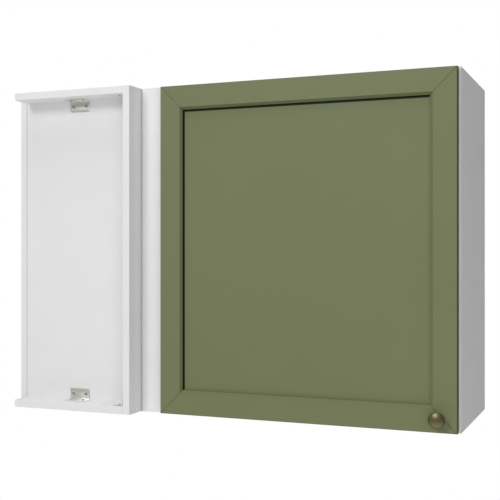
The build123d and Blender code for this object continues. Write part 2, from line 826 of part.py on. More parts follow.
def hinge_cup(level):
    """Cup with its screw flange and the two lugs that hold the pin."""
    mouth = behind_door(cup_x, level)
    floor = -(cup_depth - cup_wall)
    pin_local_x = pin_x - cup_x
    with BuildPart() as cup:
        with BuildSketch(mouth):
            RegularPolygon(cup_radius, cup_sides)
        extrude(amount=-cup_depth)
        with BuildSketch(mouth):
            RegularPolygon(cup_radius, cup_sides)
            with Locations((ear_offset, 0)):
                SlotCenterToCenter(ear_pitch, 2 * ear_radius, rotation=90)
            with Locations((flange_start - cup_edge - 2 * cup_radius, 0)):
                Rectangle(2 * cup_radius, 4 * cup_radius, mode=Mode.SUBTRACT)
        extrude(amount=flange_sheet)
        with BuildSketch(mouth.offset(flange_sheet)):
            RegularPolygon(cup_radius - cup_wall, cup_sides)
        extrude(amount=-flange_sheet + floor, mode=Mode.SUBTRACT)
        with BuildSketch(mouth.offset(-cup_depth)):
            for side in (-1, 1):
                lug_z = side * (knuckle_half + lug_gap + hinge_pin_half) / 2
                with Locations((pin_local_x, lug_z)):
                    Rectangle(2 * lug_half, hinge_pin_half - knuckle_half - lug_gap)
            RegularPolygon(cup_radius, cup_sides, mode=Mode.INTERSECT)
        extrude(amount=cup_depth - pin_depth + lug_half)
        with BuildSketch(Plane((pin_x, pin_y, level))):
            Circle(hinge_pin_radius + hinge_pin_play)
        extrude(amount=hinge_pin_half, both=True, mode=Mode.SUBTRACT)
        own_screws = [place for place in cup_screw_places if abs(place.origin.Z - level) < ear_pitch]
        with BuildSketch(*own_screws):
            RegularPolygon(cup_screw[2] + bore_play, shank_sides)
        extrude(amount=-flange_sheet, mode=Mode.SUBTRACT)
    return cup.part


def hinge_pin(level):
    """Plain pin through both lugs and the arm's knuckle."""
    with BuildPart() as pin:
        with BuildSketch(Plane((pin_x, pin_y, level))):
            Circle(hinge_pin_radius)
        extrude(amount=hinge_pin_half, both=True)
    return pin.part


def hinge_arm(level):
    """Swan-neck arm: knuckle in the cup, neck past the blind panel's edge, strap behind it."""
    middle = Plane((pin_x, pin_y, level))
    strap_y = blind_back + plate_thickness + arm_sheet / 2 - pin_y
    lip_length = arm_tail - arm_lip_end
    knuckle_reach = arm_reach - arm_sheet / 2 - knuckle_play
    with BuildPart() as arm:
        with BuildSketch(middle):
            with BuildLine():
                FilletPolyline(
                    (0, 0),
                    (arm_reach, 0),
                    (arm_reach, strap_y),
                    (-arm_tail, strap_y),
                    radius=arm_bend,
                )
                offset(amount=arm_sheet / 2)
            make_face()
        extrude(amount=arm_half, both=True)
        for side in (-1, 1):
            with BuildSketch(middle.offset(side * arm_half)):
                with Locations((-lip_length / 2, strap_y + arm_lip / 2)):
                    Rectangle(lip_length, arm_lip)
            extrude(amount=-side * arm_lip_sheet)
            with BuildSketch(middle.offset(side * arm_half)):
                Rectangle(2 * knuckle_reach, 2 * knuckle_reach)
            extrude(amount=-side * (arm_half - knuckle_half), mode=Mode.SUBTRACT)
        with BuildSketch(middle):
            Circle(knuckle_radius)
        extrude(amount=knuckle_half, both=True)
        with BuildSketch(middle):
            Circle(hinge_pin_radius + hinge_pin_play)
        extrude(amount=arm_half, both=True, mode=Mode.SUBTRACT)
        with BuildSketch(*arm_screw_places(level)):
            RegularPolygon(arm_screw[2] + bore_play, shank_sides)
        extrude(amount=-arm_sheet, mode=Mode.SUBTRACT)
    return arm.part


def hinge_plate(level):
    """Cross-shaped mounting plate on the back of the blind panel."""
    seat = Plane((pin_x - plate_offset, blind_back, level), x_dir=(1, 0, 0), z_dir=(0, 1, 0))
    with BuildPart() as plate:
        for length, width in ((plate_length, plate_bar_width), (wing_width, wing_length)):
            with BuildSketch(seat) as outline:
                Rectangle(length, width)
                chamfer(outline.vertices(), plate_corner)
            extrude(amount=plate_thickness)
        with BuildSketch(*plate_screw_places(level)):
            RegularPolygon(plate_screw[2] + bore_play, shank_sides)
        extrude(amount=-plate_thickness, mode=Mode.SUBTRACT)
        with BuildSketch(*under(arm_screw_places(level), arm_sheet)):
            RegularPolygon(arm_screw[2] + bore_play, shank_sides)
        extrude(amount=-plate_thickness, mode=Mode.SUBTRACT)
    return plate.part


for hinge_name, level in hinge_levels.items():
    save(hinge_cup(level), f"{hinge_name}_hinge_cup")
    save(hinge_pin(level), f"{hinge_name}_hinge_pin")
    save(hinge_arm(level), f"{hinge_name}_hinge_arm")
    save(hinge_plate(level), f"{hinge_name}_hinge_plate")

every_plate_screw, every_arm_screw = [], []
for level in hinge_levels.values():
    every_plate_screw += plate_screw_places(level)
    every_arm_screw += arm_screw_places(level)
save(screw_group(every_plate_screw, plate_screw), "hinge_plate_screws")
save(screw_group(every_arm_screw, arm_screw), "hinge_arm_screws")
save(screw_group(cup_screw_places, cup_screw), "hinge_cup_screws")
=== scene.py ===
# %% [markdown]
# # A corner wall cabinet
#
# The real object is a kitchen wall cabinet for a blind corner. A white carcass of
# melamine-faced chipboard carries a fixed white front on the left, a shallow frame of
# boards in front of it that fills the gap to the next cabinet, and one olive door with a
# brass knob. Its sizes and its moving parts come from a CAD model, which is loaded first
# and is never moved. Blender adds what CAD leaves out: finishes, light, and the small
# shapes of fasteners and fittings.

# %% Load the frame
import math

import bmesh
import bpy
from mathutils import Matrix, Vector


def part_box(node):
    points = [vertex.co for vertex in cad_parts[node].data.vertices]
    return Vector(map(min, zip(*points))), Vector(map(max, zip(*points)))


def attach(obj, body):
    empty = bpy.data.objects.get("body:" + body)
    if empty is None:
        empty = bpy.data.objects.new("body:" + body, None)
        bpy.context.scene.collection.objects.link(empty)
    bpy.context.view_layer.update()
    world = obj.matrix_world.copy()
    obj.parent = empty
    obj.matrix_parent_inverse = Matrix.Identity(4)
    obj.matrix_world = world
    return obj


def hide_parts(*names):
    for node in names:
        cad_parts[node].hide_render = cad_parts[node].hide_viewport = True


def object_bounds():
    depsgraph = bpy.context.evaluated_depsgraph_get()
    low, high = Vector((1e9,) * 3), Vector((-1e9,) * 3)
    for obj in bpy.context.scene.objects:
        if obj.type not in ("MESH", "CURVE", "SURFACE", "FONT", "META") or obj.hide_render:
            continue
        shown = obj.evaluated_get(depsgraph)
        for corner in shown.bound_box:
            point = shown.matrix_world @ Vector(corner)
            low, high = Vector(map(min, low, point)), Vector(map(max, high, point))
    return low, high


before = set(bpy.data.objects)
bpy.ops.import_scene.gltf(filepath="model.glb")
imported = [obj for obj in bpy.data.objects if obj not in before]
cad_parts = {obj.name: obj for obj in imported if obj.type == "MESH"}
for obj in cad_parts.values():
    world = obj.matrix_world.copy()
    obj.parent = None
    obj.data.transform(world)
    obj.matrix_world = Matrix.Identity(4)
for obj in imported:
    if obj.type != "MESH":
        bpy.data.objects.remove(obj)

mm = 0.001  # Blender works in metres, a cabinet maker in millimetres
cad_low, cad_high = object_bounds()
cad_size = [round(side / mm) for side in cad_high - cad_low]
print("CAD nodes:", len(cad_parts), "size in mm:", cad_size)

# %% [markdown]
# ## The camera
#
# A product photographer stands well back with a long lens, so that the boards hardly
# converge. The picture's verticals are parallel and the horizon lies at half height, so
# the lens axis is level. The camera looks from a little to the right of straight ahead.

# %% Camera
lens = bpy.data.cameras.new("portrait_lens")
lens.lens = 68.87
lens.sensor_width = 36.0
camera = bpy.data.objects.new("camera", lens)
camera_height = -0.298  # metres, from the fixing line
camera.location = (0.811, -2.144, camera_height)
camera.rotation_euler = (math.radians(90), 0, math.radians(22.045))
bpy.context.scene.collection.objects.link(camera)
bpy.context.scene.camera = camera
distance = math.hypot(camera.location.x, camera.location.y)
print("camera", round(distance, 2), "m from the middle of the cabinet's back")

# %% [markdown]
# ## Nodes by one small function
#
# Materials, the world and Geometry Nodes are all node trees. One function is enough for
# all of them: it adds a node, sets its options, and gives each input either a plain value
# or a link from another node's output.

# %% One function for every node
def plug(tree, node, inputs):
    """Give each input a plain value, or a link from an output, a node or a list of them."""
    for socket, value in inputs.items():
        if isinstance(value, (bpy.types.Node, bpy.types.NodeSocket)):
            value = [value]
        if isinstance(value, list):
            for source in value:
                output = source.outputs[0] if isinstance(source, bpy.types.Node) else source
                tree.links.new(output, node.inputs[socket])
        else:
            node.inputs[socket].default_value = value


def add_node(tree, kind, inputs=(), **settings):
    """Add a node, set its options and fill its inputs: a tuple in order, a dict by name."""
    node = tree.nodes.new(kind)
    for option, value in settings.items():
        setattr(node, option, value)
    plug(tree, node, inputs if isinstance(inputs, dict) else dict(enumerate(inputs)))
    return node


def colour(hex_code):
    """A painter's sRGB code, such as E6E6E4, as the linear numbers that Blender mixes."""
    parts = [int(hex_code[i : i + 2], 16) / 255 for i in (0, 2, 4)]
    linear = [c / 12.92 if c <= 0.04045 else ((c + 0.055) / 1.055) ** 2.4 for c in parts]
    return (*linear, 1.0)


print("olive in linear light:", [round(c, 3) for c in colour("78805E")])

# %% [markdown]
# ## The studio
#
# White boards on a white ground need light with a direction, or their edges vanish. A
# soft box on the left throws the frame's shadow onto the fixed front, a panel overhead
# lights the upward faces, and a weak, very large screen on the right keeps the faces that
# look that way from going dull. It stands for a matt wall that returns light, so it is kept
# out of reflections and leaves no spot on the brass knob. The room itself is a dim, even
# white. The camera sees it as pure white paper.

# %% World and colour handling
bpy.context.scene.view_settings.view_transform = "Standard"
room = bpy.data.worlds.new("white_room")
room.use_nodes = True
room_tree = room.node_tree
room_tree.nodes.clear()
room_light = add_node(
    room_tree, "ShaderNodeBackground", {"Color": colour("FFFFFF"), "Strength": 0.25}
)
room_paper = add_node(
    room_tree, "ShaderNodeBackground", {"Color": colour("FFFFFF"), "Strength": 1.0}
)
ray = add_node(room_tree, "ShaderNodeLightPath")
seen_or_felt = add_node(
    room_tree,
    "ShaderNodeMixShader",
    {0: ray.outputs["Is Camera Ray"], 1: room_light, 2: room_paper},
)
add_node(room_tree, "ShaderNodeOutputWorld", {"Surface": seen_or_felt})
bpy.context.scene.world = room
print("world:", room.name)

# %% Lamps
def soft_box(name, place, aim, size, watts):
    """A round lamp, size metres across, turned towards the point that it lights."""
    lamp = bpy.data.lights.new(name, "AREA")
    lamp.shape = "DISK"
    lamp.size = size
    lamp.energy = watts
    holder = bpy.data.objects.new(name, lamp)
    holder.location = place
    holder.rotation_euler = (Vector(aim) - Vector(place)).to_track_quat("-Z", "Y").to_euler()
    bpy.context.scene.collection.objects.link(holder)
    return holder


cabinet_centre = (0.0, -0.3, -0.3)
soft_box("key", (-1.25, -4.7, 1.98), cabinet_centre, 1.75, 81)
soft_box("overhead", (0.0, -0.6, 2.4), cabinet_centre, 2.2, 45)
right_fill = soft_box("right_fill", (1.6, -3.0, -0.3), cabinet_centre, 2.6, 24)
right_fill.visible_glossy = False

# %% [markdown]
# ## The floor
#
# A wall cabinet hangs with its underside about 1.4 m above the floor. The floor here is
# matt pale paper at that distance. It only shows in the views from above, and it sends
# some light back up under the boards.

# %% Floor
def new_piece(name, mesh):
    piece = bpy.data.objects.new(name, mesh)
    bpy.context.scene.collection.objects.link(piece)
    return piece


def from_bmesh(name, shape):
    mesh = bpy.data.meshes.new(name)
    shape.to_mesh(mesh)
    shape.free()
    return new_piece(name, mesh)


hanging_height = 1.4
floor_level = cad_low.z - hanging_height
floor_shape = bmesh.new()
bmesh.ops.create_grid(floor_shape, x_segments=8, y_segments=8, size=3.4)
bmesh.ops.translate(floor_shape, verts=floor_shape.verts, vec=(0, -0.3, floor_level))
floor = from_bmesh("floor", floor_shape)
print("floor", round(floor_level, 2), "m from the fixing line")

# %% [markdown]
# ## A start for every material
#
# Each finish below is a Principled shader with a pattern on Object coordinates. The CAD
# pieces keep their objects at the origin, so Object coordinates are simply the place in
# the room, in metres, and a pattern's scale is one over its real size. Most finishes use
# one cloud of noise in three ways: it mixes two close tones, makes the gloss swing a
# little, and raises the surface by some hundredths of a millimetre. A few real textures
# are finer than a pixel of the picture. Those are drawn coarser, and each says so.

# %% A new material and its noise
noise_span = (0.3, 0.7)  # nearly all of a noise texture's values lie between these


def new_material(name, **look):
    """A Principled material; each keyword is one of its inputs, in small letters."""
    made = bpy.data.materials.new(name)
    made.use_nodes = True
    tree = made.node_tree
    tree.nodes.clear()
    inputs = {}
    for key, value in look.items():
        inputs[key.replace("_", " ").title().replace("Ior", "IOR")] = value
    shader = add_node(tree, "ShaderNodeBsdfPrincipled", inputs)
    add_node(tree, "ShaderNodeOutputMaterial", {"Surface": shader})
    return made, tree, shader


def cloud(tree, blot_mm, detail=2.0, squeeze=(1.0, 1.0, 1.0)):
    """Noise with blots about blot_mm across, longer along an axis squeezed below one."""
    place = add_node(tree, "ShaderNodeTexCoord").outputs["Object"]
    squeezed = add_node(tree, "ShaderNodeMapping", {"Vector": place, "Scale": squeeze})
    scale = 1 / (blot_mm * mm)
    return add_node(
        tree, "ShaderNodeTexNoise", {"Vector": squeezed, "Scale": scale, "Detail": detail}
    )


print("a cloud's noise is read between", noise_span)

# %% What the noise does
def two_tones(tree, noise, low, high):
    """The mix of two close tones that follows one noise."""
    share = add_node(tree, "ShaderNodeMapRange", (noise, *noise_span, 0.0, 1.0))
    ends = {0: share, 6: colour(low), 7: colour(high)}
    return add_node(tree, "ShaderNodeMix", ends, data_type="RGBA").outputs[2]


def spread(tree, shader, noise, tones=None, roughness=None, relief_mm=None, strength=0.4):
    """Let one cloud mix two tones, swing the roughness and raise the surface."""
    if tones:
        plug(tree, shader, {"Base Color": two_tones(tree, noise, *tones)})
    if roughness:
        gloss = add_node(tree, "ShaderNodeMapRange", (noise, *noise_span, *roughness))
        plug(tree, shader, {"Roughness": gloss})
    if relief_mm:
        relief = {"Height": noise, "Distance": relief_mm * mm, "Strength": strength}
        plug(tree, shader, {"Normal": add_node(tree, "ShaderNodeBump", relief)})


def lay_tones(tree, shader, first, layers):
    """Lay one tone after another over the first, each where its mask lets it show."""
    for mask, tone in layers:
        ends = {0: mask, 6: first, 7: tone}
        first = add_node(tree, "ShaderNodeMix", ends, data_type="RGBA").outputs[2]
    plug(tree, shader, {"Base Color": first})


finishes = {}  # the slot's name in the CAD record, and the material that dresses it
slots = [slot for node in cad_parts.values() for slot in node.material_slots]
print("slots to dress:", sorted({slot.material.name.split(".")[0] for slot in slots}))

# %% [markdown]
# ## White melamine-faced chipboard
#
# Carcass boards are chipboard pressed between two sheets of melamine paper. The press
# plate leaves a pearl texture a few hundredths deep, so the white is even but never
# glassy. Real pearls are about a third of a millimetre across; here they are drawn 1 mm
# across, so that they show at all. Machine saws leave the edges that face the wall bare,
# and there the flakes of wood show. The flakes are the patches of a cell texture, longer
# along the board. Masks choose where each tone shows: the bare edges, the grey seam where the fixed
# front meets the side panel, and the shade in the corner at the foot of the stile, where
# little light gets in. A painted image would need every board unwrapped; masks made from
# the place in the room don't.

# %% Melamine-faced chipboard: where each tone shows
board, tree, shader = new_material(
    "melamine_faced_chipboard", roughness=0.5, specular_ior_level=0.3
)
place = add_node(tree, "ShaderNodeTexCoord").outputs["Object"]
at = add_node(tree, "ShaderNodeSeparateXYZ", (place,)).outputs
skin = 0.2 * mm  # how far inside a face still counts as that face
side_board = 15.7 * mm  # a little less than the board, so that its inner face stays white
seam_half, seam_depth = 0.75 * mm, 1.0 * mm
foot_shade = (0.4 * mm, 5.0 * mm)  # from the stile: where the shade is full and where it ends

wall_edge = add_node(tree, "ShaderNodeMath", (at["Y"], -skin), operation="GREATER_THAN")
on_top = add_node(tree, "ShaderNodeMath", (at["Z"], cad_high.z - skin), operation="GREATER_THAN")
off_middle = add_node(tree, "ShaderNodeMath", (at["X"],), operation="ABSOLUTE")
in_side = add_node(
    tree, "ShaderNodeMath", (off_middle, cad_high.x - side_board), operation="GREATER_THAN"
)
top_edge = add_node(tree, "ShaderNodeMath", (on_top, in_side), operation="MULTIPLY")
bare = add_node(tree, "ShaderNodeMath", (wall_edge, top_edge), operation="MAXIMUM")

seam_x, front_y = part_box("left_side_panel")[1].x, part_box("blind_panel")[0].y
from_seam = add_node(tree, "ShaderNodeMath", (at["X"], seam_x), operation="SUBTRACT")
from_seam = add_node(tree, "ShaderNodeMath", (from_seam,), operation="ABSOLUTE")
at_seam = add_node(tree, "ShaderNodeMath", (from_seam, seam_half), operation="LESS_THAN")
at_front = add_node(tree, "ShaderNodeMath", (at["Y"], front_y + seam_depth), operation="LESS_THAN")
seam = add_node(tree, "ShaderNodeMath", (at_seam, at_front), operation="MULTIPLY")

foot_line = (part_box("spacer_stile")[1].x, front_y, 0.0)
level = add_node(tree, "ShaderNodeVectorMath", (place, (1.0, 1.0, 0.0)), operation="MULTIPLY")
from_foot = add_node(tree, "ShaderNodeVectorMath", (level, foot_line), operation="DISTANCE")
at_foot = (from_foot.outputs["Value"], *foot_shade, 1.0, 0.0)
at_foot = add_node(tree, "ShaderNodeMapRange", at_foot)
print("masks: bare edges, seam at x =", round(seam_x / mm), "mm, foot of the stile")

# %% Melamine-faced chipboard: the tones themselves
paper = two_tones(tree, cloud(tree, 70), "EBEBEC", "EDEDEE")

flake_place = add_node(tree, "ShaderNodeMapping", {"Vector": place, "Scale": (0.5, 1.0, 1.0)})
flakes = add_node(
    tree,
    "ShaderNodeTexVoronoi",
    {"Vector": flake_place, "Scale": 1 / (1.6 * mm), "Randomness": 1.0},
)
flake_share = add_node(tree, "ShaderNodeSeparateColor", (flakes.outputs["Color"],))
chip_ends = {0: flake_share, 6: colour("9A7B52"), 7: colour("D2B88C")}
chips = add_node(tree, "ShaderNodeMix", chip_ends, data_type="RGBA").outputs[2]

lay_tones(
    tree, shader, paper, [(bare, chips), (seam, colour("B4B4B4")), (at_foot, colour("C8C8C7"))]
)
spread(tree, shader, cloud(tree, 1.1), relief_mm=0.02, strength=0.5)
finishes["white_board"] = board
print("board:", len(tree.nodes), "nodes")

# %% [markdown]
# ## The back: hardboard with one painted face
#
# The back is 3 mm fibreboard. The side towards the shelf is painted white by roller, and
# the side towards the wall is left brown, with the felt of wood fibre. Single fibres are
# too fine to see from here, so the felt is drawn as clumps of about 2 mm.

# %% Painted hardboard
back, tree, shader = new_material("painted_hardboard", roughness=0.55)
place = add_node(tree, "ShaderNodeTexCoord").outputs["Object"]
at = add_node(tree, "ShaderNodeSeparateXYZ", (place,)).outputs
felt = cloud(tree, 2.2, 4.0, (1.0, 1.0, 0.35))
painted = two_tones(tree, cloud(tree, 50), "DEDEDB", "E4E4E1")
brown = two_tones(tree, felt, "7C5B3A", "A07C54")
wall_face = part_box("back_panel")[1].y - 0.2 * mm
wall_side = add_node(tree, "ShaderNodeMath", (at["Y"], wall_face), operation="GREATER_THAN")
lay_tones(tree, shader, painted, [(wall_side, brown)])
spread(tree, shader, felt, relief_mm=0.06, strength=0.5)
finishes["back_board"] = back
print("back:", len(tree.nodes), "nodes")

# %% [markdown]
# ## Olive lacquer on fibreboard
#
# The door is fine fibreboard, routed to its profile, sealed, sanded and sprayed with a
# satin lacquer. Spray leaves two marks: a very shallow orange peel, 2 to 3 mm from crest
# to crest, and a slow drift of tone over tens of centimetres. The V lines of the mitres
# are drawn darker, as joints. The other dark tones are painted shade. The hairline round
# the loose panel is a painted shadow on its upper and left sides. The slope beside it has
# painted shade, strongest on those sides, which face away from the key lamp. The sharp
# outer arris and the rear half of the door's edge have painted shade too. Each is found
# by its distance from the edge of what shows of the panel. The painted shadow above the
# panel is wider than the one at its left.

# %% Satin lacquer: distances from the edge of the panel
lacquer, tree, shader = new_material("satin_olive_lacquer", specular_ior_level=0.22)
panel_low = Vector((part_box("door_left_stile")[1].x, 0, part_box("door_bottom_rail")[1].z))
panel_high = Vector((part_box("door_right_stile")[0].x, 0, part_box("door_top_rail")[0].z))
panel_centre = (panel_low + panel_high) / 2
panel_centre.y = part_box("door_panel")[0].y
half = (panel_high - panel_low) / 2
frame_width = (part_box("door_left_stile")[1].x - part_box("door_left_stile")[0].x) / mm

place = add_node(tree, "ShaderNodeTexCoord").outputs["Object"]
centred = add_node(tree, "ShaderNodeMapping", {"Vector": place, "Location": -panel_centre})
at = add_node(tree, "ShaderNodeSeparateXYZ", (centred,)).outputs
to_left = add_node(tree, "ShaderNodeMath", (at["X"], -1.0, -half.x), operation="MULTIPLY_ADD")
to_right = add_node(tree, "ShaderNodeMath", (at["X"], half.x), operation="SUBTRACT")
to_top = add_node(tree, "ShaderNodeMath", (at["Z"], half.z), operation="SUBTRACT")
to_bottom = add_node(tree, "ShaderNodeMath", (at["Z"], -1.0, -half.z), operation="MULTIPLY_ADD")

upper_left = add_node(tree, "ShaderNodeMath", (to_left, to_top), operation="MAXIMUM")
lower_right = add_node(tree, "ShaderNodeMath", (to_right, to_bottom), operation="MAXIMUM")
past_edge = add_node(tree, "ShaderNodeMath", (upper_left, lower_right), operation="MAXIMUM")
# The upper and left sides face away from the key lamp: painted shade and shadow are strongest
# there.
shade_side = add_node(tree, "ShaderNodeMath", (upper_left, lower_right), operation="GREATER_THAN")
shade_share = (shade_side, 0.66, 0.33)  # a third of the dark tone, and nearly all of it on that side
shade_share = add_node(tree, "ShaderNodeMath", shade_share, operation="MULTIPLY_ADD")

past_side = add_node(tree, "ShaderNodeMath", (to_left, to_right), operation="MAXIMUM")
past_end = add_node(tree, "ShaderNodeMath", (to_top, to_bottom), operation="MAXIMUM")
off_mitre = add_node(tree, "ShaderNodeMath", (past_side, past_end), operation="SUBTRACT")
off_mitre = add_node(tree, "ShaderNodeMath", (off_mitre,), operation="ABSOLUTE")

top_shadow_extra = 1.8 * mm  # by which the painted shadow above the panel is wider than at its left
# painted shadow: the distance to the dark hairline round the upper and left sides of the panel
below_top = add_node(tree, "ShaderNodeMath", (to_top, top_shadow_extra), operation="ADD")
shadow_distance = add_node(tree, "ShaderNodeMath", (to_left, below_top), operation="MAXIMUM")
print("panel shows", round(2 * half.x / mm), "by", round(2 * half.z / mm), "mm")

# %% Satin lacquer: ramps of distance, and masks made of them
ramps = {  # a distance, where its ramp starts and ends in mm, and its shares there
    "front": (at["Y"], 2.6, 4.6, 1.0, 0.0),
    "slope_start": (past_edge, 0.0, 0.4, 0.0, 1.0),
    "slope_end": (past_edge, 5.2, 6.2, 1.0, 0.0),
    # painted shadow: the hairline round the upper and left sides of the panel
    "shadow_line": (shadow_distance, -3.0, -1.8, 0.0, 1.0),
    "panel_side": (past_edge, 0.0, 0.3, 1.0, 0.0),
    "mitre_line": (off_mitre, 0.5, 0.9, 0.45, 0.0),
    "frame_side": (past_edge, 0.0, 1.0, 0.0, 1.0),
    "rim": (past_edge, frame_width - 1.3, frame_width - 0.7, 0.0, 0.6),
    "edge_face": (past_edge, frame_width - 0.4, frame_width - 0.2, 0.0, 1.0),
    "rear": (at["Y"], 0.5, 1.5, 0.0, 0.75),
}
share = {}
for name, (distance, start, end, low, high) in ramps.items():
    stops = (distance, start * mm, end * mm, low, high)
    share[name] = add_node(tree, "ShaderNodeMapRange", stops)

# slope, hairline, arris and rear_half are painted shade and shadow; mitre is the dark line of the
# joints
masks = {
    "slope": [share["slope_start"], share["slope_end"], share["front"], shade_share],
    "hairline": [share["shadow_line"], share["panel_side"], shade_side, share["front"]],
    "mitre": [share["mitre_line"], share["frame_side"]],
    "arris": [share["rim"], share["front"]],
    "rear_half": [share["edge_face"], share["rear"]],
}
for name, factors in masks.items():
    product = factors.pop(0)
    for factor in factors:
        product = add_node(tree, "ShaderNodeMath", (product, factor), operation="MULTIPLY")
    masks[name] = product
# painted shade and shadow of the hairline, arris and rear edge, together with the dark mitre joints
shade_and_joint_lines = masks["hairline"]
for name in ("mitre", "arris", "rear_half"):
    shade_and_joint_lines = add_node(tree, "ShaderNodeMath", (shade_and_joint_lines, masks[name]), operation="MAXIMUM")
print("masks:", list(masks))

# %% Satin lacquer: tones, gloss and orange peel
film = two_tones(tree, cloud(tree, 240), "747B58", "767D5A")
# 5C6343 is painted shade on the slope; 1F2312 is painted shade and shadow, and the dark tone of the
# mitre joints
lay_tones(tree, shader, film, [(masks["slope"], colour("5C6343")), (shade_and_joint_lines, colour("1F2312"))])
spread(tree, shader, cloud(tree, 2.6, 1.0), roughness=(0.46, 0.54), relief_mm=0.03, strength=0.5)
finishes["green_lacquer"] = lacquer
print("lacquer:", len(tree.nodes), "nodes")

# %% [markdown]
# ## Zinc-plated steel
#
# Brackets, screws, cams and the wall rail are cold-rolled steel with a thin bright zinc
# coat. Zinc is greyer and softer in gloss than nickel, and it clouds a little where
# fingers and tools touched it. A metal's colour is its reflection, so only the base
# colour, the roughness and a faint cloud are needed. Its crystals, a few hundredths of a
# millimetre across, are drawn as grit of 0.8 mm.

# %% Zinc plate
zinc, tree, shader = new_material("zinc_plated_steel", metallic=1.0)
spread(tree, shader, cloud(tree, 6.0, 3.0), ("EFEEE9", "F3F2ED"), (0.4, 0.44))
spread(tree, shader, cloud(tree, 0.8, 1.0), relief_mm=0.01)
finishes["zinc_steel"] = zinc
print("zinc:", len(tree.nodes), "nodes")

# %% [markdown]
# ## Bracket screws in a darker grey
#
# The screws of the brackets get a duller and darker grey than the plates. This is painted
# shade: it stands for the shade in the recesses round their heads, so that they read as
# small dots on the bright plates. A fine mottle, 1.5 mm across, breaks up the grey.

# %% Darker grey for the bracket screws: painted shade
# painted shade: a darker, duller grey than the plates, standing for the shade in the recesses round
# the screw heads
screw_shade_steel, tree, shader = new_material("screw_steel_painted_shade", metallic=1.0)
flecks = cloud(tree, 1.5, 2.0)
spread(tree, shader, flecks, ("B4B3AD", "C1C0BA"), (0.38, 0.46), relief_mm=0.01)
print("flake coat:", len(tree.nodes), "nodes")

# %% [markdown]
# ## Nickel-plated steel
#
# Hinges are stamped, then barrel-plated with nickel: brighter and slightly warmer than
# zinc, and smooth enough to mirror. The drawing of the steel leaves faint lines along
# the arm, which are noise stretched twenty times in one direction. Real lines are finer
# than the half millimetre used here, which is the finest that a close view shows.

# %% Nickel plate
nickel, tree, shader = new_material("nickel_plated_steel", metallic=1.0)
drawn_lines = cloud(tree, 0.5, 2.0, (0.05, 1.0, 1.0))
spread(tree, shader, drawn_lines, ("C1BDB5", "CFCBC3"), (0.18, 0.28), relief_mm=0.004)
finishes["nickel_steel"] = nickel
print("nickel:", len(tree.nodes), "nodes")

# %% [markdown]
# ## Beech
#
# Dowels are turned from beech. Its mark is short dark flecks, the rays, about 3 mm long
# and half a millimetre wide, on an even pinkish brown.

# %% Beech
beech, tree, shader = new_material("turned_beech", roughness=0.6)
rays = cloud(tree, 0.6, 2.0, (0.2, 0.2, 1.0))
spread(tree, shader, rays, ("A87B52", "D2A97C"), relief_mm=0.03)
finishes["beech"] = beech
print("beech:", len(tree.nodes), "nodes")

# %% [markdown]
# ## Moulded plastics
#
# Hanger housings are moulded in white polyamide against a spark-eroded tool, which gives
# a matt grain; it is really about 0.1 mm across and is drawn at 0.7 mm. The door's bumpers
# are clear soft polyurethane: light passes through, a little clouded, and the surface is
# slightly tacky rather than glossy.

# %% Polyamide and polyurethane
polyamide, tree, shader = new_material("white_moulded_polyamide", roughness=0.5, ior=1.53)
spread(tree, shader, cloud(tree, 20), ("DCDBD5", "E4E3DD"))
spread(tree, shader, cloud(tree, 0.7, 2.0), relief_mm=0.02, strength=0.5)
finishes["white_plastic"] = polyamide

bumper, tree, shader = new_material("clear_polyurethane", ior=1.5, transmission_weight=0.75)
spread(tree, shader, cloud(tree, 1.5, 2.0), ("DDE2E2", "EEF1F0"), (0.22, 0.36))
finishes["clear_bumper"] = bumper
print("plastics:", polyamide.name, bumper.name)

# %% [markdown]
# ## Antique brass
#
# The knob is turned brass, dipped in a dark patina and then wiped back. The patina stays
# round the rim and under it, the neck keeps only a little, and the crown that hands polish
# is the brightest. A thin clear lacquer keeps it so, and gives the small pale highlight over
# the dull metal. The distance from the knob's axis decides how much is left: a Mapping node
# first brings the knob's centre to zero.

# %% Antique brass
knob_low, knob_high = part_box("knob")
knob_centre = (knob_low + knob_high) / 2
knob_radius = (knob_high.x - knob_low.x) / 2

brass, tree, shader = new_material(
    "antique_brass", metallic=1.0, coat_weight=0.85, coat_roughness=0.3
)
place = add_node(tree, "ShaderNodeTexCoord").outputs["Object"]
centred = add_node(tree, "ShaderNodeMapping", {"Vector": place, "Location": -knob_centre})
flat = add_node(tree, "ShaderNodeVectorMath", (centred, (1.0, 0.0, 1.0)), operation="MULTIPLY")
off_axis = add_node(tree, "ShaderNodeVectorMath", (flat,), operation="LENGTH").outputs["Value"]
kept = add_node(tree, "ShaderNodeMapRange", (off_axis, 0.75 * knob_radius, knob_radius, 0.1, 0.7))
wiped = {"Vector": centred, "Scale": 1 / (2.5 * mm), "Detail": 4.0}
wiped = add_node(tree, "ShaderNodeTexNoise", wiped)
mottle = add_node(tree, "ShaderNodeMapRange", (wiped, *noise_span, -0.15, 0.2))
patina = add_node(tree, "ShaderNodeMath", (kept, mottle), operation="ADD", use_clamp=True)
lay_tones(tree, shader, colour("7A734B"), [(patina, colour("3C351A"))])
spread(tree, shader, patina, roughness=(0.44, 0.52))
finishes["antique_brass"] = brass
print("brass knob radius in mm:", round(knob_radius / mm, 1))

# %% [markdown]
# ## Dress the CAD pieces
#
# Every CAD node carries a slot name from its record, such as white_board. A node keeps
# its mesh and its place, and only its slot gets the finish of that name.

# %% Finishes onto nodes
dressed = {}
for node_name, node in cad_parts.items():
    for material_slot in node.material_slots:
        kind = material_slot.material.name.split(".")[0]
        material_slot.material = finishes[kind]
        dressed.setdefault(kind, []).append(node_name)

paper_floor, tree, shader = new_material("pale_paper", roughness=0.9, emission_strength=0.24)
spread(tree, shader, cloud(tree, 300), ("F2F2F1", "F8F8F7"))
plug(tree, shader, {"Emission Color": colour("FFFFFF")})
floor.data.materials.append(paper_floor)
print({kind: len(names) for kind, names in dressed.items()})

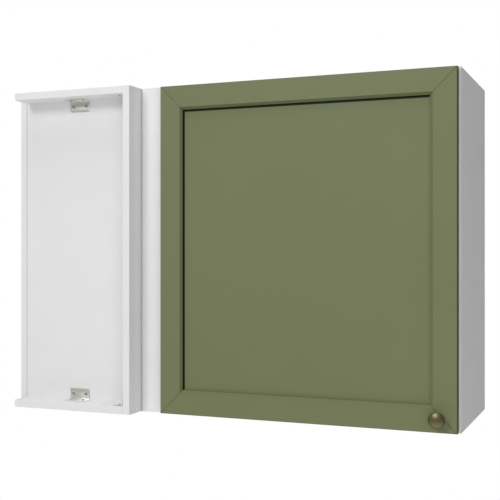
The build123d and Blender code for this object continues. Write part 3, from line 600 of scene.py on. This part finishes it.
# %% [markdown]
# ## Screws, grown by Geometry Nodes
#
# About thirty screws hold the fittings. They are all one kind, a pan head with a cross
# recess and a threaded shank, in a few sizes, so one tree with named sizes makes them
# all. It needs only a point where each head sits and the direction that the head faces.
# Both are read from the CAD solids: a screw's long side is its axis, and the end with
# the wider outline is its head. A mesh of separate points carries the direction as an
# attribute.

# %% Take a CAD node apart into its solids
def merged_shape(node_name):
    """A copy of a CAD node's loose triangles with the corners joined."""
    shape = bmesh.new()
    shape.from_mesh(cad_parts[node_name].data)
    bmesh.ops.remove_doubles(shape, verts=shape.verts, dist=0.002 * mm)
    return shape


def place_in_order(points):
    """A key that puts solids in the same order on every run, whatever order they came in."""
    return tuple(round(sum(point[i] for point in points), 4) for i in range(3))


def solids_of(node_name):
    """The corner points of every separate solid in a node."""
    shape = merged_shape(node_name)
    waiting, solids = set(shape.verts), []
    while waiting:
        front, found = [waiting.pop()], []
        while front:
            corner = front.pop()
            found.append(corner.co.copy())
            for edge in corner.link_edges:
                other = edge.other_vert(corner)
                if other in waiting:
                    waiting.remove(other)
                    front.append(other)
        solids.append(found)
    shape.free()
    return sorted(solids, key=place_in_order)


print("bracket screws found:", len(solids_of("bracket_screws")))

# %% Read each fastener's seat from its solid
def seats_of(node_name, axis=None, facing=None):
    """Top of each fastener's head, the way it faces, its radius there and its length."""
    seats = []
    for points in solids_of(node_name):
        low = Vector([min(p[i] for p in points) for i in range(3)])
        high = Vector([max(p[i] for p in points) for i in range(3)])
        size = high - low
        along = axis if axis is not None else max(range(3), key=lambda i: size[i])
        across = [i for i in range(3) if i != along]
        centre = (low + high) / 2

        def reach(end):
            near = [p for p in points if abs(p[along] - end) < 0.1 * mm]
            return max(math.hypot(*(p[i] - centre[i] for i in across)) for p in near)

        head_is_high = reach(high[along]) > reach(low[along]) if facing is None else facing > 0
        top = centre.copy()
        top[along] = high[along] if head_is_high else low[along]
        outward = Vector([0.0, 0.0, 0.0])
        outward[along] = 1.0 if head_is_high else -1.0
        seats.append((top, outward, max(size[i] for i in across) / 2, size[along]))
    return seats


for node_name in ("bracket_screws", "hinge_plate_screws", "hinge_cup_screws"):
    top, outward, radius, length = seats_of(node_name)[0]
    print(node_name, "head radius", round(radius / mm, 2), "length", round(length / mm, 1))

# %% A tree with named inputs
def new_tree(name, sizes):
    """A tree with one input for each named size, and the outputs of its Group Input."""
    tree = bpy.data.node_groups.new(name, "GeometryNodeTree")
    face = tree.interface
    face.new_socket("Geometry", in_out="INPUT", socket_type="NodeSocketGeometry")
    face.new_socket("Geometry", in_out="OUTPUT", socket_type="NodeSocketGeometry")
    for label, value in sizes.items():
        kind = "NodeSocketInt" if isinstance(value, int) else "NodeSocketFloat"
        face.new_socket(label, in_out="INPUT", socket_type=kind).default_value = value
    face.new_socket("Finish", in_out="INPUT", socket_type="NodeSocketMaterial")
    return tree, tree.nodes.new("NodeGroupInput").outputs


def shares_of(tree, size, shares):
    """Each part's size, as a share of one of the tree's named sizes."""
    parts = {}
    for part, (whole, share) in shares.items():
        terms = (size[whole], share)
        parts[part] = add_node(tree, "ShaderNodeMath", terms, operation="MULTIPLY")
    return parts


def move(tree, shape, height, aside=0.0):
    """Move a shape along its own axis, and aside from it."""
    way = add_node(tree, "ShaderNodeCombineXYZ", (aside, 0.0, height))
    return add_node(tree, "GeometryNodeTransform", {0: shape, "Translation": way})


screw_nodes = [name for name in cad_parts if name.endswith(("_screws", "_adjusters"))]
print("sets of screws to grow:", screw_nodes)

# %% Run a tree on a mesh of seats
crease = math.radians(32)  # grown surfaces are smooth up to this angle


def grow(name, tree, seats, body, finish, nodes, **sizes):
    """Keep what the tree grows on the seats as one plain mesh on one body."""
    mesh = bpy.data.meshes.new(name + "_seats")
    mesh.from_pydata([top for top, outward, radius, length in seats], [], [])
    facing = mesh.attributes.new("facing", "FLOAT_VECTOR", "POINT")
    for spot, (top, outward, radius, length) in zip(facing.data, seats):
        spot.vector = outward
    seed_piece = new_piece(name + "_seats", mesh)
    modifier = seed_piece.modifiers.new("grow", "NODES")
    modifier.node_group = tree
    sizes["Finish"] = finish
    for item in tree.interface.items_tree:
        if item.in_out == "INPUT" and item.name in sizes:
            modifier[item.identifier] = sizes[item.name]
    depsgraph = bpy.context.evaluated_depsgraph_get()
    evaluated = seed_piece.evaluated_get(depsgraph)
    grown = bpy.data.meshes.new_from_object(evaluated, depsgraph=depsgraph)
    bpy.data.objects.remove(seed_piece)
    grown.name = name
    grown.shade_smooth()
    grown.set_sharp_from_angle(angle=crease)
    piece = new_piece(name, grown)
    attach(piece, body)
    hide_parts(*nodes)
    print(name, len(seats), "pieces,", len(grown.polygons), "faces")
    return piece


print("grown surfaces crease at", round(math.degrees(crease)), "degrees")

# %% [markdown]
# ### One screw, step by step
#
# A pan head is formed cold in a die: flat below, round at its shoulder, with a cross
# struck into it. Here it is an oval ball, pressed flat at both heights by moving its
# points, less two crossed bars. A shank spun from one profile would have rings and no
# thread, so a four-sided wire is swept along a helix round a plain core. Last, the points
# near the tip are drawn in towards the axis, which gives core and thread a common point.

# %% The screw tree: its sizes
screw_sizes = {
    "Head radius": 3.6 * mm,
    "Head height": 1.6 * mm,
    "Shank radius": 1.75 * mm,
    "Length": 13.0 * mm,
    "Thread pitch": 1.4 * mm,
    "Seed": 7,
}
tree, size = new_tree("cross_recessed_screw", screw_sizes)
screw_tree = tree
part = shares_of(
    tree,
    size,
    {
        "ball height": ("Head height", 1.35),
        "blade length": ("Head radius", 1.15),
        "blade width": ("Head radius", 0.26),
        "blade depth": ("Head height", 1.3),
        "core radius": ("Shank radius", 0.72),
        "core middle": ("Length", -0.5),
        "flank radius": ("Shank radius", 0.26),
        "tip": ("Length", -1.0),
        "sink": ("Head height", -1.0),
    },
)
print("screw sizes in mm:", {k: round(v / mm, 2) for k, v in screw_sizes.items() if k != "Seed"})

# %% The screw tree: head
ball = add_node(tree, "GeometryNodeMeshUVSphere", {"Segments": 24, "Rings": 14, "Radius": 1.0})
oval = (size["Head radius"], size["Head radius"], part["ball height"])
oval = add_node(tree, "ShaderNodeCombineXYZ", oval)
button = add_node(tree, "GeometryNodeTransform", {0: ball, "Scale": oval})
position = add_node(tree, "GeometryNodeInputPosition")
where = add_node(tree, "ShaderNodeSeparateXYZ", (position,)).outputs
raised = add_node(tree, "ShaderNodeMath", (where["Z"], 0.0), operation="MAXIMUM")
raised = add_node(tree, "ShaderNodeMath", (raised, size["Head height"]), operation="MINIMUM")
pressed = add_node(tree, "ShaderNodeCombineXYZ", (where["X"], where["Y"], raised))
pan = add_node(tree, "GeometryNodeSetPosition", {0: button, "Position": pressed})

blades = []
for sides in (("blade length", "blade width"), ("blade width", "blade length")):
    block = add_node(
        tree, "ShaderNodeCombineXYZ", (part[sides[0]], part[sides[1]], part["blade depth"])
    )
    bar = add_node(tree, "GeometryNodeMeshCube", {"Size": block})
    blades.append(move(tree, bar, size["Head height"]))
head = add_node(
    tree,
    "GeometryNodeMeshBoolean",
    {"Mesh 1": pan, "Mesh 2": blades},
    operation="DIFFERENCE",
    solver="EXACT",
)
print("head: a ball pressed flat below and above, less two crossed bars")

# %% The screw tree: shank and thread
core = add_node(
    tree,
    "GeometryNodeMeshCylinder",
    {"Vertices": 16, "Side Segments": 8, "Radius": part["core radius"], "Depth": size["Length"]},
)
turns = add_node(
    tree, "ShaderNodeMath", (size["Length"], size["Thread pitch"]), operation="DIVIDE"
)
helix = add_node(
    tree,
    "GeometryNodeCurveSpiral",
    {
        "Resolution": 14,
        "Rotations": turns,
        "Start Radius": part["core radius"],
        "End Radius": part["core radius"],
        "Height": size["Length"],
    },
)
flank = add_node(
    tree, "GeometryNodeCurvePrimitiveCircle", {"Resolution": 4, "Radius": part["flank radius"]}
)
thread = add_node(
    tree, "GeometryNodeCurveToMesh", {"Curve": helix, "Profile Curve": flank, "Fill Caps": True}
)
core_down = move(tree, core, part["core middle"])
thread_down = move(tree, thread, part["tip"])
shank = add_node(tree, "GeometryNodeJoinGeometry", {0: [core_down, thread_down]})
print("shank: a core and a helix round it")

# %% The screw tree: point, and the whole screw sunk to its seat
point_length, point_share = 3.0 * mm, 0.12
above_tip = add_node(tree, "ShaderNodeMath", (where["Z"], size["Length"]), operation="ADD")
slim = add_node(tree, "ShaderNodeMapRange", (above_tip, 0.0, point_length, point_share, 1.0))
drawn = []
for axis in ("X", "Y"):
    drawn.append(add_node(tree, "ShaderNodeMath", (where[axis], slim), operation="MULTIPLY"))
drawn.append(add_node(tree, "ShaderNodeMath", (where["Z"], part["tip"]), operation="MAXIMUM"))
drawn = add_node(tree, "ShaderNodeCombineXYZ", drawn)
pointed = add_node(tree, "GeometryNodeSetPosition", {0: shank, "Position": drawn})
whole_screw = add_node(tree, "GeometryNodeJoinGeometry", {0: [head, pointed]})
seated = move(tree, whole_screw, part["sink"])
print("point: the last", point_length / mm, "mm drawn in")

# %% [markdown]
# ### How every tree ends
#
# The shape goes on each seat as an instance, which Blender places without copying it. It
# is turned to face out of its board and spun by a seeded random angle, because nobody
# lines up the crosses of screws. The instances are then made real and given their finish,
# so that one plain mesh comes out.

# %% Plant a shape on its seats
def plant(tree, size, shape, spin_radians):
    """Put shape on every seat, facing outward and turned by a seeded random angle."""
    facing = add_node(
        tree, "GeometryNodeInputNamedAttribute", {"Name": "facing"}, data_type="FLOAT_VECTOR"
    )
    aimed = add_node(tree, "FunctionNodeAlignRotationToVector", {"Vector": facing}, axis="Z")
    spin = {2: 0.0, 3: spin_radians, "Seed": size["Seed"]}
    stop = add_node(tree, "FunctionNodeRandomValue", spin).outputs[1]
    turn = add_node(tree, "FunctionNodeAxisAngleToRotation", {"Axis": (0, 0, 1), "Angle": stop})
    turned = add_node(
        tree,
        "FunctionNodeRotateRotation",
        {"Rotation": aimed, "Rotate By": turn},
        rotation_space="LOCAL",
    )
    placed = add_node(
        tree,
        "GeometryNodeInstanceOnPoints",
        {"Points": size["Geometry"], "Instance": shape, "Rotation": turned},
    )
    real = add_node(tree, "GeometryNodeRealizeInstances", (placed,))
    finished = add_node(tree, "GeometryNodeSetMaterial", {0: real, "Material": size["Finish"]})
    add_node(tree, "NodeGroupOutput", (finished,))


plant(screw_tree, size, seated, math.pi / 2)
print("screw tree:", len(screw_tree.nodes), "nodes")

# %% Drive the screws
head_share = 0.98  # heads stay a hair inside the CAD's own
screw_sets = {  # the body they ride on, their slot, and the height of their heads in mm
    "bracket_screws": ("cabinet", "zinc_steel", 1.6),
    "hanger_screws": ("cabinet", "zinc_steel", 1.8),
    "hanger_adjusters": ("cabinet", "zinc_steel", 2.0),
    "hinge_plate_screws": ("cabinet", "nickel_steel", 1.8),
    "hinge_arm_screws": ("cabinet", "nickel_steel", 1.8),
    "hinge_cup_screws": ("door", "nickel_steel", 1.5),
}
for node_name, (body, kind, head_height) in screw_sets.items():
    seats = seats_of(node_name)
    top, outward, radius, length = seats[0]
    sizes = {
        "Head radius": radius * head_share,
        "Head height": head_height * mm,
        "Length": length - head_height * mm,
    }
    # The brackets' screws get a darker grey of their own: painted shade for the recesses round
    # their heads.
    finish = screw_shade_steel if node_name == "bracket_screws" else finishes[kind]
    piece = grow(node_name + "_driven", screw_tree, seats, body, finish, [node_name], **sizes)

# %% [markdown]
# ## Rounded edges
#
# Stamped and moulded parts have no knife edges: steel is tumbled after stamping, and a
# mould leaves a small radius. The CAD solids are sharp, so each of these parts is copied,
# its flat triangles are joined into whole faces, and every edge sharper than 35 degrees is
# rounded by a quarter of a millimetre or so. That is less than a pixel here, yet it is
# what gives a bracket its bright rim. A Bevel modifier would round the edges as well, but
# the copy has to be cleaned first in any case, so both are done to the mesh in one go.

# %% Round one part
flat, sharp_edge, soft_edge = (math.radians(degrees) for degrees in (0.5, 35, 50))


def eased(node_name, body, kind, radius_mm):
    """A copy of a CAD node with its sharp edges rounded."""
    shape = merged_shape(node_name)
    bmesh.ops.dissolve_limit(shape, angle_limit=flat, verts=shape.verts, edges=shape.edges)
    bmesh.ops.recalc_face_normals(shape, faces=shape.faces)
    closed = [edge for edge in shape.edges if len(edge.link_faces) == 2]
    sharp = [edge for edge in closed if edge.calc_face_angle() > sharp_edge]
    bmesh.ops.bevel(
        shape,
        geom=sharp,
        offset=radius_mm * mm,
        segments=2,
        profile=0.5,
        affect="EDGES",
        clamp_overlap=True,
        miter_outer="ARC",
    )
    many_sided = [face for face in shape.faces if len(face.verts) > 4]
    bmesh.ops.triangulate(shape, faces=many_sided)
    piece = from_bmesh(node_name + "_eased", shape)
    mesh = piece.data
    for layer in [a.name for a in mesh.attributes]:
        if layer in ("custom_normal", "sharp_edge", "sharp_face"):
            mesh.attributes.remove(mesh.attributes[layer])
    mesh.shade_smooth()
    mesh.set_sharp_from_angle(angle=soft_edge)
    mesh.materials.clear()
    mesh.materials.append(finishes[kind])
    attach(piece, body)
    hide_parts(node_name)
    return len(mesh.polygons)


print("edges sharper than", round(math.degrees(sharp_edge)), "degrees are rounded")

# %% Round the stamped and moulded parts
eased_parts = [  # the body, the slot, the radius of the edges in mm, and the nodes
    ("cabinet", "zinc_steel", 0.25, "top_center_bracket", "top_corner_bracket"),
    ("cabinet", "zinc_steel", 0.25, "bottom_center_bracket", "bottom_corner_bracket"),
    ("door", "nickel_steel", 0.2, "upper_hinge_cup", "lower_hinge_cup"),
    ("cabinet", "nickel_steel", 0.2, "upper_hinge_arm", "lower_hinge_arm"),
    ("cabinet", "nickel_steel", 0.25, "upper_hinge_plate", "lower_hinge_plate"),
    ("door", "nickel_steel", 0.15, "upper_hinge_pin", "lower_hinge_pin"),
    ("cabinet", "white_plastic", 0.5, "left_hanger_housing", "right_hanger_housing"),
    ("cabinet", "zinc_steel", 0.25, "left_hanger_hook", "right_hanger_hook", "wall_rail"),
    ("cabinet", "zinc_steel", 0.2, "shelf_pins", "cam_bolts"),
    ("door", "zinc_steel", 0.2, "knob_screw"),
]
for body, kind, radius_mm, *node_names in eased_parts:
    for node_name in node_names:
        print(node_name, eased(node_name, body, kind, radius_mm), "faces")

# %% [markdown]
# ## Cam fittings
#
# A cam is a short die-cast drum let into the flat of a board. A quarter turn with a cross
# screwdriver pulls the bolt of the next board tight. Its face has a raised rim, the cross
# recess, and a small arrow that shows where the bolt comes in. All are alike, so a second
# tree makes them: a drum, less a shallow dish, a cross and a three-sided arrow.

# %% The cam tree: its sizes
cam_sizes = {
    "Radius": 7.4 * mm,
    "Depth": 12.4 * mm,
    "Dish": 0.6 * mm,
    "Recess depth": 4.0 * mm,
    "Seed": 3,
}
tree, size = new_tree("cam_drum", cam_sizes)
part = shares_of(
    tree,
    size,
    {
        "middle": ("Depth", -0.5),
        "dish radius": ("Radius", 0.84),
        "dish depth": ("Dish", 2.0),
        "pointer depth": ("Dish", 4.0),
        "pointer place": ("Radius", 0.62),
        "slot depth": ("Recess depth", 2.0),
    },
)
print("cam sizes in mm:", {k: round(v / mm, 2) for k, v in cam_sizes.items() if k != "Seed"})

# %% The cam tree: a drum, and what is cut out of it
round_sides, pointer_radius = 48, 1.3 * mm
prisms = []
for sides, radius, depth, height, aside in (
    (round_sides, size["Radius"], size["Depth"], part["middle"], 0.0),
    (round_sides, part["dish radius"], part["dish depth"], 0.0, 0.0),
    (3, pointer_radius, part["pointer depth"], 0.0, part["pointer place"]),
):
    drum = add_node(
        tree, "GeometryNodeMeshCylinder", {"Vertices": sides, "Radius": radius, "Depth": depth}
    )
    prisms.append(move(tree, drum, height, aside))
drum, *cutters = prisms

slot_length, slot_width = 6.4 * mm, 1.3 * mm
for sides in ((slot_length, slot_width), (slot_width, slot_length)):
    block = add_node(tree, "ShaderNodeCombineXYZ", (*sides, part["slot depth"]))
    cutters.append(add_node(tree, "GeometryNodeMeshCube", {"Size": block}))
cam = add_node(
    tree,
    "GeometryNodeMeshBoolean",
    {"Mesh 1": drum, "Mesh 2": cutters},
    operation="DIFFERENCE",
    solver="EXACT",
)
print("cam: a drum less", len(cutters), "shapes")

# %% Plant the cams
cam_spin = 0.35  # radians, because tightened cams stop within 20 degrees of each other
plant(tree, size, cam, cam_spin)
cam_seats = seats_of("cam_locks", axis=2, facing=1)
cams = grow("cam_drums", tree, cam_seats, "cabinet", finishes["zinc_steel"], ["cam_locks"])

# %% [markdown]
# ## Fluted dowels
#
# A furniture dowel is beech pressed through a toothed ring. Its flutes let glue climb out
# of a blind hole, and its ends are chamfered so that it starts easily. The tree takes a
# drum of many sides and moves its points: inward wherever the cosine of twelve times
# their angle is low, and inward again near both ends. Twelve cuts would do it too, but
# moving points is quicker and leaves an even mesh.

# %% The dowel tree: how far each point moves in
dowel_sizes = {
    "Radius": 3.95 * mm,
    "Length": 30.0 * mm,
    "Flute depth": 0.35 * mm,
    "Chamfer": 1.2 * mm,
    "Seed": 5,
}
flutes, flute_level, chamfer_slope = 12, -0.2, 0.8
tree, size = new_tree("fluted_dowel", dowel_sizes)
part = shares_of(tree, size, {"half": ("Length", 0.5), "sink": ("Length", -0.5)})
stock = add_node(
    tree,
    "GeometryNodeMeshCylinder",
    {"Vertices": 72, "Side Segments": 24, "Radius": size["Radius"], "Depth": size["Length"]},
)
position = add_node(tree, "GeometryNodeInputPosition")
where = add_node(tree, "ShaderNodeSeparateXYZ", (position,)).outputs
angle = add_node(tree, "ShaderNodeMath", (where["Y"], where["X"]), operation="ARCTAN2")
turned = add_node(tree, "ShaderNodeMath", (angle, flutes), operation="MULTIPLY")
wave = add_node(tree, "ShaderNodeMath", (turned,), operation="COSINE")
in_flute = add_node(tree, "ShaderNodeMath", (wave, flute_level), operation="LESS_THAN")
groove = add_node(tree, "ShaderNodeMath", (in_flute, size["Flute depth"]), operation="MULTIPLY")

off_middle = add_node(tree, "ShaderNodeMath", (where["Z"],), operation="ABSOLUTE")
to_end = add_node(tree, "ShaderNodeMath", (part["half"], off_middle), operation="SUBTRACT")
in_chamfer = add_node(tree, "ShaderNodeMath", (size["Chamfer"], to_end), operation="SUBTRACT")
in_chamfer = add_node(tree, "ShaderNodeMath", (in_chamfer, 0.0), operation="MAXIMUM")
inward = (in_chamfer, chamfer_slope, groove)
inward = add_node(tree, "ShaderNodeMath", inward, operation="MULTIPLY_ADD")
taken = add_node(tree, "ShaderNodeMath", (inward, size["Radius"]), operation="DIVIDE")
kept = add_node(tree, "ShaderNodeMath", (1.0, taken), operation="SUBTRACT")
print("dowel:", flutes, "flutes round", 2 * dowel_sizes["Radius"] / mm, "mm")

# %% The dowel tree: move the points and plant the dowels
pressed = []
for axis in ("X", "Y"):
    pressed.append(add_node(tree, "ShaderNodeMath", (where[axis], kept), operation="MULTIPLY"))
pressed = add_node(tree, "ShaderNodeCombineXYZ", (*pressed, where["Z"]))
fluted = add_node(tree, "GeometryNodeSetPosition", {0: stock, "Position": pressed})
plant(tree, size, move(tree, fluted, part["sink"]), math.tau)
dowel_seats = seats_of("dowels", facing=1)
dowels = grow("dowels_fluted", tree, dowel_seats, "cabinet", finishes["beech"], ["dowels"])

# %% [markdown]
# ## The knob and the bumpers
#
# A knob is turned on a lathe, so it is a profile spun round an axis. The CAD knob gives
# its reach and its radius; the profile adds what a turner leaves: a stepped foot, a
# slim waist, a rolled rim with a fine bead, and a low domed crown. The profile is a list
# of distances, out from the axis and forward from the door. Spun points that meet on
# the axis are merged before the faces are turned outward. A door bumper is a soft drop
# with a low dome, so the same lathe makes it.

# %% Turned shapes
turned_crease = math.radians(40)


def lathe(name, profile, centre, facing, steps):
    """Spin a profile of (radius, height) in mm round an axis through centre."""
    shape = bmesh.new()
    corners = [shape.verts.new((radius * mm, 0, height * mm)) for radius, height in profile]
    lines = [shape.edges.new(pair) for pair in zip(corners, corners[1:])]
    bmesh.ops.spin(
        shape,
        geom=corners + lines,
        cent=(0, 0, 0),
        axis=(0, 0, 1),
        angle=math.tau,
        steps=steps,
        use_merge=True,
    )
    bmesh.ops.remove_doubles(shape, verts=shape.verts, dist=0.005 * mm)
    bmesh.ops.recalc_face_normals(shape, faces=shape.faces)
    aim = Vector((0, 0, 1)).rotation_difference(Vector(facing)).to_matrix().to_4x4()
    bmesh.ops.transform(shape, matrix=Matrix.Translation(centre) @ aim, verts=shape.verts)
    piece = from_bmesh(name, shape)
    piece.data.shade_smooth()
    piece.data.set_sharp_from_angle(angle=turned_crease)
    return piece


def arc(start, end, bulge, count):
    """Points on a shallow curve from start to end that bulges to its right by bulge."""
    (x0, y0), (x1, y1) = start, end
    length = math.hypot(x1 - x0, y1 - y0)
    points = []
    for i in range(1, count + 1):
        t = i / count
        lift = 4 * bulge * t * (1 - t) / length
        along, up = x0 + (x1 - x0) * t, y0 + (y1 - y0) * t
        points.append((along + lift * (y1 - y0), up - lift * (x1 - x0)))
    return points


print("a quarter of the way along a curve:", arc((0, 0), (4, 0), 1, 4)[0])

# %% Spin the knob
reach = (knob_high.y - knob_low.y) / mm
rim = knob_radius / mm
rim_height = reach - 4.2
foot = [(0.0, 0.0), (8.5, 0.0), (8.5, 1.2)] + arc((8.5, 1.2), (7.6, 2.0), 0.2, 4)
waist = arc((7.6, 2.0), (6.2, 6.0), -0.7, 6) + arc((6.2, 6.0), (10.5, 14.2), -1.4, 10)
under = [(rim - 1.9, 15.6)]
roll = arc((rim - 1.9, 15.6), (rim, rim_height - 0.9), 0.55, 6)
roll += arc((rim, rim_height - 0.9), (rim - 1.2, rim_height + 0.9), 0.5, 6)
bead = [(rim - 1.6, rim_height + 0.75)]
crown = arc(bead[0], (0.0, reach), 0.89, 26)
crown[-1] = (0.0, reach)
profile = foot + waist + under + roll + bead + crown
knob_seat = (knob_centre.x, knob_high.y, knob_centre.z)
knob = lathe("knob_turned", profile, knob_seat, facing=(0, -1, 0), steps=96)
knob.data.materials.append(finishes["antique_brass"])
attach(knob, "door")
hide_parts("knob")
points = [v.co for v in knob.data.vertices]
print("knob reach", round((knob_high.y - min(p.y for p in points)) / mm, 2))
print("knob radius", round((max(p.x for p in points) - knob_centre.x) / mm, 2))

# %% Spin the bumpers
bumper_seats = seats_of("door_bumpers", axis=1, facing=1)
for end, (top, outward, radius, length) in zip(("lower", "upper"), bumper_seats):
    side, high, skirt = radius / mm - 0.1, length / mm, 0.25
    dome = [(0.0, 0.0), (side, 0.0), (side, skirt)] + arc((side, skirt), (0.0, high), 0.35, 10)
    dome[-1] = (0.0, high)
    foot = top - outward * length
    bumper_piece = lathe(end + "_bumper_dome", dome, foot, facing=outward, steps=40)
    bumper_piece.data.materials.append(finishes["clear_bumper"])
    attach(bumper_piece, "door")
    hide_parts("door_bumpers")
    print(bumper_piece.name, "stands", round(high, 2), "mm proud")
